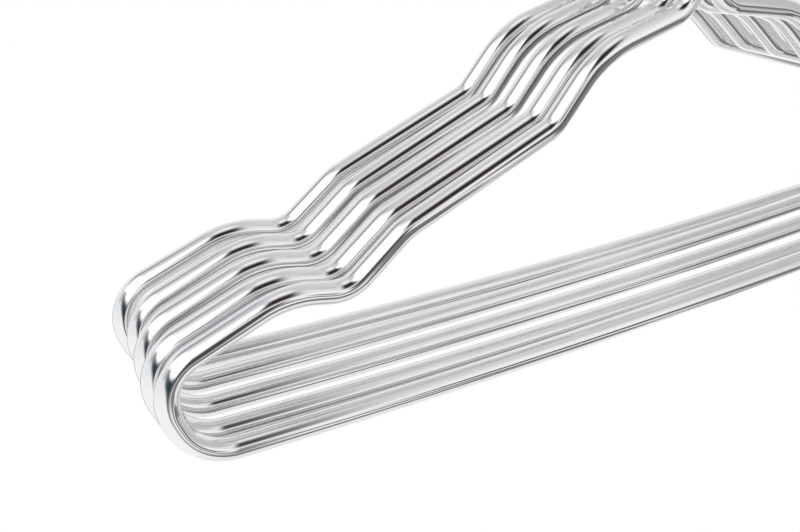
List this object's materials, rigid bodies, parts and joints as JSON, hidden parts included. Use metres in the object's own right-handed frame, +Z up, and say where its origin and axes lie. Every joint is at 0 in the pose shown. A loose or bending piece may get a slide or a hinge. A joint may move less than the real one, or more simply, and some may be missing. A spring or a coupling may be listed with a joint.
{
  "type": "clothes hangers",
  "caption": "Nest of alike mirror-polished bent-rod clothes hangers with stepped and notched shoulders, a bowed trouser bar, neck ferrules and swivel hooks",
  "frame": {"origin": "where the middle hanger's hook rests on the rail: the top of its loop, on the inside", "axes": "+X along the hangers' width, to the viewer's right; +Y along the rail, from the front hanger to the back one; +Z up"},
  "size_m": [0.4249, 0.0648, 0.2166],
  "materials": {
    "polished_frame": "mirror-polished bent steel rod with fine drawn lines along it",
    "polished_ferrule": "polished turned and pressed steel ferrule",
    "polished_hook": "mirror-polished bent steel wire hook",
    "plain_washer": "plain steel thrust washer, hidden in the ferrule"
  },
  "bodies": {
    "hook_body_1": {"hook_1": "polished_hook", "washer_1": "plain_washer"},
    "frame_body_1": {"frame_1": "polished_frame", "ferrule_1": "polished_ferrule"},
    "hook_body_2": {"hook_2": "polished_hook", "washer_2": "plain_washer"},
    "frame_body_2": {"frame_2": "polished_frame", "ferrule_2": "polished_ferrule"},
    "hook_body_3": {"hook_3": "polished_hook", "washer_3": "plain_washer"},
    "frame_body_3": {"frame_3": "polished_frame", "ferrule_3": "polished_ferrule"},
    "hook_body_4": {"hook_4": "polished_hook", "washer_4": "plain_washer"},
    "frame_body_4": {"frame_4": "polished_frame", "ferrule_4": "polished_ferrule"},
    "hook_body_5": {"hook_5": "polished_hook", "washer_5": "plain_washer"},
    "frame_body_5": {"frame_5": "polished_frame", "ferrule_5": "polished_ferrule"}
  },
  "joints": [
    {"name": "swivel_1", "type": "hinge", "parent": "hook_body_1", "child": "frame_body_1", "pos_m": [0, 0.0298, -0.06171], "axis": [0, 0, 1], "range_deg": [-17, 17]},
    {"name": "rail_slide_2", "type": "slide", "parent": "hook_body_1", "child": "hook_body_2", "axis": [0, -1, 0], "range_m": [0, 0.06]},
    {"name": "swivel_2", "type": "hinge", "parent": "hook_body_2", "child": "frame_body_2", "pos_m": [0.00096, 0.0178, -0.0617], "axis": [-0.0155, 0, 0.9999], "range_deg": [-17, 17]},
    {"name": "rail_slide_3", "type": "slide", "parent": "hook_body_2", "child": "hook_body_3", "axis": [0, -1, 0], "range_m": [0, 0.06]},
    {"name": "swivel_3", "type": "hinge", "parent": "hook_body_3", "child": "frame_body_3", "pos_m": [0.00087, 0, -0.0617], "axis": [-0.0141, 0, 0.9999], "range_deg": [-17, 17]},
    {"name": "rail_slide_4", "type": "slide", "parent": "hook_body_3", "child": "hook_body_4", "axis": [0, -1, 0], "range_m": [0, 0.06]},
    {"name": "swivel_4", "type": "hinge", "parent": "hook_body_4", "child": "frame_body_4", "pos_m": [0.00073, -0.0176, -0.0617], "axis": [-0.0119, 0, 0.9999], "range_deg": [-17, 17]},
    {"name": "rail_slide_5", "type": "slide", "parent": "hook_body_4", "child": "hook_body_5", "axis": [0, -1, 0], "range_m": [0, 0.06]},
    {"name": "swivel_5", "type": "hinge", "parent": "hook_body_5", "child": "frame_body_5", "pos_m": [0.00143, -0.027, -0.06169], "axis": [-0.0232, 0, 0.9997], "range_deg": [-17, 17]}
  ],
  "couplings": [
    {"joint": "swivel_2", "follows": "swivel_1", "ratio": 1},
    {"joint": "swivel_3", "follows": "swivel_1", "ratio": 1},
    {"joint": "swivel_4", "follows": "swivel_1", "ratio": 1},
    {"joint": "swivel_5", "follows": "swivel_1", "ratio": 1}
  ]
}
